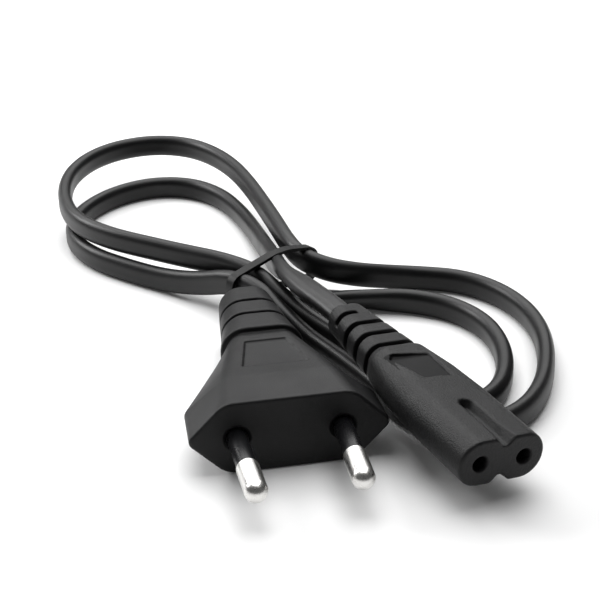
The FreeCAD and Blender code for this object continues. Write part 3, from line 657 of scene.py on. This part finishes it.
def block(name, left, right, front, back, bottom, top):
    corners = [(left, front), (right, front), (right, back), (left, back)]
    return prism(name, [(x, y, bottom) for x, y in corners], [(x, y, top) for x, y in corners])


def add_boolean(body, operation, tool):
    change = body.modifiers.new(tool.name, "BOOLEAN")
    change.operation = operation
    change.solver = "EXACT"
    change.object = tool


def evaluated_mesh(holder):
    """A new mesh of an object with its modifiers applied."""
    bpy.context.view_layer.update()
    graph = bpy.context.evaluated_depsgraph_get()
    return bpy.data.meshes.new_from_object(holder.evaluated_get(graph))


def smooth_faces(mesh):
    for face in mesh.polygons:
        face.use_smooth = True


def moulded(name, body, added, cuts, space):
    """A soft-edged moulding: parts joined, cuts taken out, then meshed evenly and relaxed so edges round."""
    for operation, tools in (("UNION", added), ("DIFFERENCE", cuts)):
        for tool in tools:
            add_boolean(body, operation, tool)
    even = body.modifiers.new("even_mesh", "REMESH")
    even.mode = "VOXEL"
    even.voxel_size = VOXEL
    relax = body.modifiers.new("soft_edges", "SMOOTH")
    relax.factor = SOFTEN_SHARE
    relax.iterations = SOFTEN_ROUNDS
    mesh = evaluated_mesh(body)
    for tool in [body] + added + cuts:
        bpy.data.objects.remove(tool)
    mesh.transform(in_metres(space) @ Matrix.Scale(MM, 4))
    mesh.name = name
    smooth_faces(mesh)
    return add_object(name, mesh)


# Mouldings
def panel_cutter():
    """A shallow block that follows the wedge's sloping top."""
    level, low = WEDGE_STATIONS[1:]
    slope = (low[3] - level[3]) / (low[0] - level[0])
    front_top, back_top = [PIN_PLANE + slope * (along - level[0]) for along in (PANEL_FRONT, PANEL_BACK)]
    corners = [(-PANEL_FRONT_HALF, PANEL_FRONT, front_top), (PANEL_FRONT_HALF, PANEL_FRONT, front_top),
               (PANEL_BACK_HALF, PANEL_BACK, back_top), (-PANEL_BACK_HALF, PANEL_BACK, back_top)]
    return prism("panel_cut", [(x, y, z - PANEL_DEPTH) for x, y, z in corners],
                 [(x, y, z + SPARE) for x, y, z in corners])


def make_plug():
    wedge_insets = lip(LIP, 0.0, LIP) + [(WEDGE_END, 0.0)]
    body = lofted("plug_wedge", body_sections(WEDGE_STATIONS, wedge_outline, wedge_insets))
    neck_insets = NECK_ROOT + lip(*NECK_LIP)
    for start in PLUG_GROOVES:
        neck_insets += groove(start, PLUG_GROOVE_WIDTH, GROOVE_DEPTH)
    neck = lofted("plug_neck", body_sections(NECK_STATIONS, oblong_outline, neck_insets))
    cuts = [panel_cutter()]
    well = [(WELL_RADIUS, -SPARE), (WELL_RADIUS, WELL_DEPTH), (SLEEVE_RADIUS, WELL_DEPTH + WELL_STEP),
            (SLEEVE_RADIUS, WELL_DEPTH + WELL_BEHIND)]
    for side in (-1, 1):
        lean = Matrix.Rotation(-side * PIN_LEAN, 4, "Z")
        place = Matrix.Translation((side * PIN_SPACING / 2, 0, 0)) @ lean
        cuts.append(turned("pin_well_cut", well, place))
    piece = moulded("plug_moulding", body, [neck], cuts, plug_space())
    # The plug's black has a few painted glints in its colour.
    piece.data.materials.append(plastic("plug_soft_black", PLUG_BLACK, roughness=0.5, grain_size=0.0003,
                                        bump=0.000035, painted_glints=0.05, specular=0.24))
    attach(piece, "root")
    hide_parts("plug_overmould")


def slot_cutters(way):
    """A trough with sloping walls and a round end, which flares into a notch at the face."""
    rim = NOSE_TOP + SPARE
    spread_out = (SLOT_HALF - SLOT_FLOOR_HALF) * (rim - SLOT_FLOOR) / (NOSE_TOP - SLOT_FLOOR)
    reach = SLOT_FLOOR_HALF + spread_out

    def across(along, wide):
        return [(-SLOT_FLOOR_HALF, along, SLOT_FLOOR * way), (SLOT_FLOOR_HALF, along, SLOT_FLOOR * way),
                (wide, along, rim * way), (-wide, along, rim * way)]
    end = SLOT_LENGTH - SLOT_HALF
    trough = prism("slot_cut", across(-SPARE, reach), across(end, reach))
    stand = Matrix.Translation((0, end, 0)) @ Matrix.Rotation(math.pi / 2 * way, 4, "X")
    rounding = turned("slot_end_cut", [(SLOT_FLOOR_HALF, SLOT_FLOOR), (reach, rim)], stand)
    flare = reach + (NOTCH_HALF - SLOT_HALF) * (NOTCH_RUN + SPARE) / NOTCH_RUN
    notch = prism("notch_cut", across(-SPARE, flare), across(NOTCH_RUN, reach))
    return [trough, rounding, notch]


def short_groove_cutter():
    """A ring round the relief, less a core, its right side and its underside."""
    front = SHORT_GROOVE - SHORT_GROOVE_BEFORE
    back = SHORT_GROOVE + SHORT_GROOVE_BEHIND
    wide, high, radius = between(CONNECTOR_STATIONS, SHORT_GROOVE)
    outer = oblong_outline(wide + RING_REACH, high + RING_REACH, radius + RING_ROUNDING)
    inner = oblong_outline(wide, high, radius, inset=GROOVE_DEPTH)
    ring = lofted("short_groove_cut", [(SHORT_GROOVE, outer), (SHORT_GROOVE + SHORT_GROOVE_WIDTH, outer)])
    core = lofted("short_groove_core", [(front, inner), (back, inner)])
    side = block("short_groove_side", SHORT_GROOVE_RIGHT, BLOCK_REACH, front, back, -BLOCK_REACH, BLOCK_REACH)
    under = block("short_groove_under", -BLOCK_REACH, BLOCK_REACH, front, back, -BLOCK_REACH,
                  SHORT_GROOVE_BOTTOM)
    for tool in (core, side, under):
        add_boolean(ring, "DIFFERENCE", tool)
    mesh = evaluated_mesh(ring)
    ring.modifiers.clear()
    ring.data = mesh
    for tool in (core, side, under):
        bpy.data.objects.remove(tool)
    return ring


def make_connector():
    insets = lip(LIP, 0.0, LIP) + lip(*RELIEF_LIP)
    for start in CONNECTOR_GROOVES:
        insets += groove(start, CONNECTOR_GROOVE_WIDTH, GROOVE_DEPTH)
    body = lofted("connector_body", body_sections(CONNECTOR_STATIONS, oblong_outline, insets))
    cuts = slot_cutters(1) + slot_cutters(-1)
    socket = [(MOUTH_RADIUS, -SPARE), (MOUTH_RADIUS, 0.0), (SOCKET_RADIUS, MOUTH_DEPTH),
              (SOCKET_RADIUS, SOCKET_DEPTH)]
    for side in (-1, 1):
        place = Matrix.Translation((side * SOCKET_SPACING / 2, 0, 0))
        cuts.append(turned("socket_cut", socket, place))
    recess_floor = [(x, y, RECESS_TOP - RECESS_TILT * (RECESS_RIGHT - x)) for x, y in GRIP_CORNERS]
    cuts.append(prism("grip_cut", recess_floor, [(x * GRIP_FLARE, y, GRIP_CUT_TOP) for x, y in GRIP_CORNERS]))
    cuts.append(short_groove_cutter())
    piece = moulded("connector_moulding", body, [], cuts, connector_space())
    # The connector's black has many painted glints in its colour.
    piece.data.materials.append(plastic("connector_soft_black", PLUG_BLACK, roughness=0.46, grain_size=0.0003,
                                        bump=0.0001, painted_glints=0.6, specular=0.24))
    # The grip's recess takes a smoother black of its own, and its darker colour is painted shade.
    piece.data.materials.append(plastic("smooth_recess_painted_shade", RECESS_SHADE_BLACK, roughness=0.4, grain_size=0.0006,
                                        bump=0.00001, specular=0.06))
    # Faces inside the recess take the painted shade.
    back = in_metres(connector_space()).inverted()
    for face in piece.data.polygons:
        x, y, z = (back @ face.center) / MM
        across = abs(x - RECESS_MIDDLE[0]) < RECESS_HALF[0]
        along = abs(y - RECESS_MIDDLE[1]) < RECESS_HALF[1]
        if across and along and RECESS_LOW < z < RECESS_HIGH:
            face.material_index = 1
    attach(piece, "root")
    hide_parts("connector_overmould")


# Cord
def route_line():
    """The smooth line of the cord: points of a NURBS spline over the listed route, in metres."""
    curve = bpy.data.curves.new("cord_line", "CURVE")
    curve.dimensions = "3D"
    curve.resolution_u = LINE_STEPS
    spline = curve.splines.new("NURBS")
    route = [Vector(point) + PLUG_PLACE for point in CORD_ROUTE]
    space = connector_space()
    route.append(space @ Vector((0, RELIEF_END + RELIEF_RUN_OUT, 0)))
    route.append(space @ Vector((0, CORD_SEAT, 0)))
    spline.points.add(len(route) - 1)
    for control, point in zip(spline.points, route):
        control.co = (*(point * MM), 1)
    spline.order_u = 3
    spline.use_endpoint_u = True
    holder = add_object("cord_line", curve)
    mesh = bpy.data.meshes.new_from_object(holder)
    points = [vertex.co.copy() for vertex in mesh.vertices]
    bpy.data.objects.remove(holder)
    bpy.data.meshes.remove(mesh)
    return points


def twin_section(count):
    """Outline of the oval jacket over two cores side by side, with a faint valley between them."""
    outline = []
    for index in range(count):
        angle = 2 * math.pi * index / count
        across = CORD_WIDTH / 2 * math.copysign(abs(math.cos(angle)) ** CORD_FULLNESS, math.cos(angle))
        up = CORD_THICKNESS / 2 * math.copysign(abs(math.sin(angle)) ** CORD_FULLNESS, math.sin(angle))
        dip = VALLEY_DEPTH * math.exp(-(across / VALLEY_WIDTH) ** 2)
        outline.append((across, up * (1 - dip / (CORD_THICKNESS / 2))))
    return outline


def flat_share(travelled, total):
    """How far the cord lies flat: all the way at the two ends, and on edge in the loops."""
    from_plug = 1 - min(1, max(0, (travelled - PLUG_FLAT_RUN) / TWIST_RUN))
    from_connector = 1 - min(1, max(0, (total - travelled - CONNECTOR_FLAT_RUN) / TWIST_RUN))
    share = max(from_plug, from_connector)
    return share * share * (3 - 2 * share)


def make_cord():
    points = route_line()
    lengths = [0.0]
    for before, after in zip(points, points[1:]):
        lengths.append(lengths[-1] + (after - before).length / MM)
    outline = twin_section(SECTION_POINTS)
    build = bmesh.new()
    rings = []
    for index, point in enumerate(points):
        before = points[max(0, index - 1)]
        after = points[min(len(points) - 1, index + 1)]
        ahead = (after - before).normalized()
        level = ahead.cross(Vector((0, 0, 1))).normalized()
        upright = level.cross(ahead)
        turn = math.pi / 2 * flat_share(lengths[index], lengths[-1])
        wide = level * math.sin(turn) + upright * math.cos(turn)
        thin = wide.cross(ahead)
        rings.append([build.verts.new(point + (wide * x + thin * z) * MM) for x, z in outline])
    stitch(build, rings)
    piece = finished_mesh("flat_twin_cord", build)
    piece.data.materials.append(plastic("cord_jacket_black", CORD_BLACK, roughness=0.42, grain_size=0.0005,
                                        bump=0.00001, mottle=0.1, specular=0.34))
    smooth_faces(piece.data)
    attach(piece, "root")
    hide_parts("cord")


def dress_nodes():
    """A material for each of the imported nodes, by the record's slots."""
    black = plastic("soft_black_plastic", PLUG_BLACK, roughness=0.52, grain_size=0.0003, bump=0.00004)
    hard = plastic("hard_black_moulding", HARD_BLACK, roughness=0.45, grain_size=0.0006, bump=0.00003)
    sleeve = plastic("black_sleeve", SLEEVE_BLACK, roughness=0.28, grain_size=0.0008, bump=0.00001,
                     specular=0.3)
    tie = plastic("black_tie_tape", TIE_BLACK, roughness=0.5, grain_size=0.0008, bump=0.00002, specular=0.2)
    blue = plastic("blue_core", CORE_BLUE, roughness=0.4, grain_size=0.0008, bump=0.00002)
    brown = plastic("brown_core", CORE_BROWN, roughness=0.4, grain_size=0.0008, bump=0.00002)
    nickel = metal("bright_nickel", NICKEL, roughness=0.3, tarnish=0.03, bump=0.0000003)
    brass = metal("contact_brass", BRASS, roughness=0.3, tarnish=0.2, bump=0.000003)
    copper = metal("bare_copper", COPPER, roughness=0.35, tarnish=0.3, bump=0.00002)
    steel = metal("tie_wire_steel", STEEL, roughness=0.4, tarnish=0.3, bump=0.000004)
    finish = {"black_pvc": black, "cord_jacket": black, "inner_plastic": hard, "sleeve_plastic": sleeve,
              "nickelled_brass": nickel, "contact_brass": brass, "copper": copper, "blue_insulation": blue,
              "brown_insulation": brown, "tie_plastic": tie, "tie_steel": steel}
    for part in frame["record"]["subparts"]:
        node = bpy.data.objects[part["node"]]
        node.data.materials.clear()
        node.data.materials.append(finish[part["material_slot"]])


add_camera()
add_studio()
dress_nodes()
make_cord()
make_plug()
make_connector()

bpy.context.scene.view_settings.view_transform = "Standard"
bpy.context.view_layer.update()
